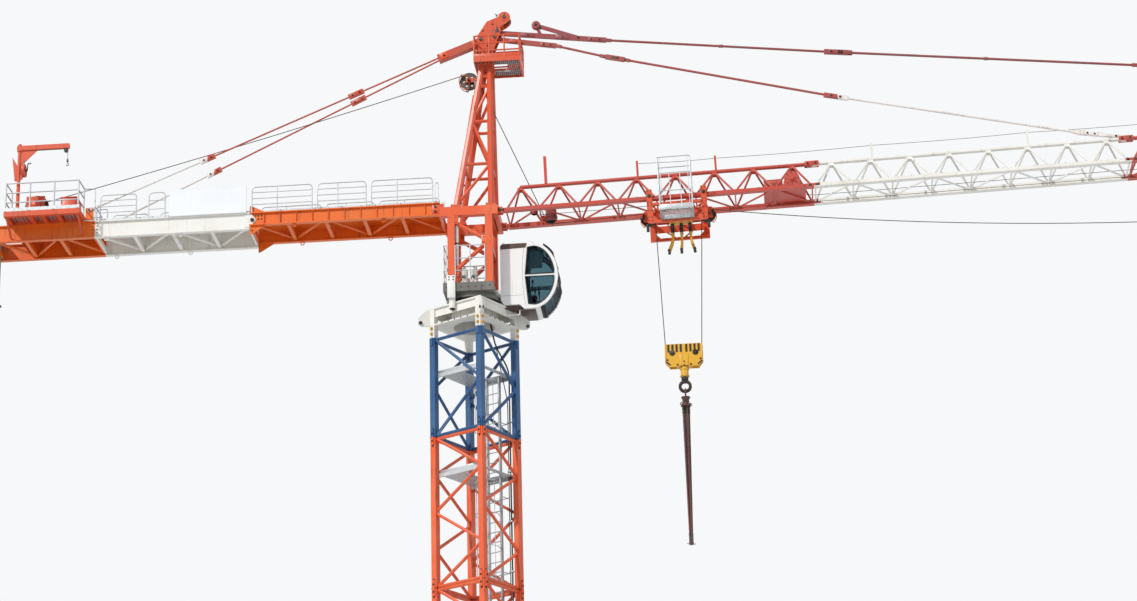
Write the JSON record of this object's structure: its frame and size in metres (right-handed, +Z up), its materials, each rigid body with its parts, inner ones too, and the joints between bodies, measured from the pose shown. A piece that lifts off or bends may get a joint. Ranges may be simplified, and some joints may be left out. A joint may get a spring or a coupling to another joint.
{
  "type": "tower crane, scale model at 1:2",
  "caption": "Saddle-jib tower crane at half size: lattice tower, slewing upper works with cab, head, tied jib and counter-jib, trolley and hook.",
  "frame": {"origin": "centre of the flat underside of the base cross, on the ground", "axes": "+X along the jib, +Z up, +Y to the left when looking along the jib"},
  "size_m": [27.7791, 1.622, 19.5799],
  "materials": {
    "orange_paint": "orange gloss paint, slightly weathered",
    "blue_paint": "blue gloss paint",
    "white_paint": "white gloss paint",
    "yellow_orange_paint": "yellow-orange gloss paint",
    "galvanized": "hot-dip galvanized steel",
    "dark_paint": "dark grey paint",
    "machined_steel": "greased dark steel",
    "rope_steel": "greased wire rope",
    "red_paint": "red-brown paint",
    "yellow_paint": "yellow paint",
    "hook_steel": "forged dark steel",
    "sling_steel": "dark red painted hub with oiled slings",
    "glass": "clear safety glass",
    "seat_fabric": "worn dark red cloth",
    "board": "plain painted sheet with no lettering",
    "concrete": "cast concrete"
  },
  "bodies": {
    "tower": {"base_cross": "orange_paint", "base_stubs": "orange_paint", "tower_side_1": "orange_paint", "tower_side_2": "orange_paint", "tower_side_3": "orange_paint", "tower_side_4": "orange_paint", "top_side_1": "blue_paint", "top_side_2": "blue_paint", "top_side_3": "blue_paint", "top_side_4": "blue_paint", "tower_ladder": "galvanized", "tower_platforms": "galvanized", "ring_support": "white_paint"},
    "upper_works": {"slewing_ring": "machined_steel", "slewing_deck": "dark_paint", "slewing_drives": "white_paint", "deck_railing": "galvanized", "column_side_near": "orange_paint", "column_side_far": "orange_paint", "column_cross_frames": "orange_paint", "head_side_near": "orange_paint", "head_side_far": "orange_paint", "head_cross_bars": "orange_paint", "head_ladder": "galvanized", "head_platform": "orange_paint", "head_sheaves": "machined_steel", "cab_shell": "white_paint", "cab_glass": "glass", "cab_seat": "seat_fabric", "cab_bracket": "white_paint", "jib_section_1": "orange_paint", "jib_section_2": "white_paint", "jib_section_3": "orange_paint", "jib_section_4": "orange_paint", "jib_tip_section": "orange_paint", "jib_tie_inner": "white_paint", "jib_tie_outer": "white_paint", "trolley_winch": "orange_paint", "counter_jib_inner": "yellow_orange_paint", "counter_jib_outer": "white_paint", "counter_jib_end": "orange_paint", "counter_jib_ties": "red_paint", "counter_jib_railings": "galvanized", "side_board": "board", "counterweights": "concrete", "hoist_winch": "orange_paint", "service_davit": "orange_paint", "hoist_rope": "rope_steel", "rope_run_inner": "rope_steel", "rope_run_outer": "rope_steel", "rope_falls": "rope_steel"},
    "trolley": {"trolley_frame": "orange_paint", "trolley_basket": "galvanized", "trolley_sheaves": "machined_steel"},
    "hook_block": {"hook_block": "yellow_paint", "block_sheaves": "machined_steel"},
    "hook": {"hook_swivel": "hook_steel", "sling_set": "sling_steel"},
    "drum": {"hoist_drum": "machined_steel"}
  },
  "joints": [
    {"name": "slewing", "type": "hinge", "parent": "tower", "child": "upper_works", "pos_m": [0, 0, 15.1], "axis": [0, 0, 1], "continuous": true},
    {"name": "trolley_travel", "type": "slide", "parent": "upper_works", "child": "trolley", "axis": [0.9996, 0, 0.0279], "range_m": [-1, 15.6], "deforming": ["rope_run_inner", "rope_run_outer"]},
    {"name": "hoisting", "type": "slide", "parent": "trolley", "child": "hook_block", "axis": [0, 0, 1], "range_m": [-10, 1.3], "deforming": ["rope_falls"]},
    {"name": "hook_turn", "type": "hinge", "parent": "hook_block", "child": "hook", "pos_m": [2.86435, 0, 13.975], "axis": [0, 0, 1], "continuous": true},
    {"name": "drum_turn", "type": "hinge", "parent": "upper_works", "child": "drum", "pos_m": [-6.13, 0, 16.905], "axis": [0, 1, 0], "continuous": true}
  ]
}
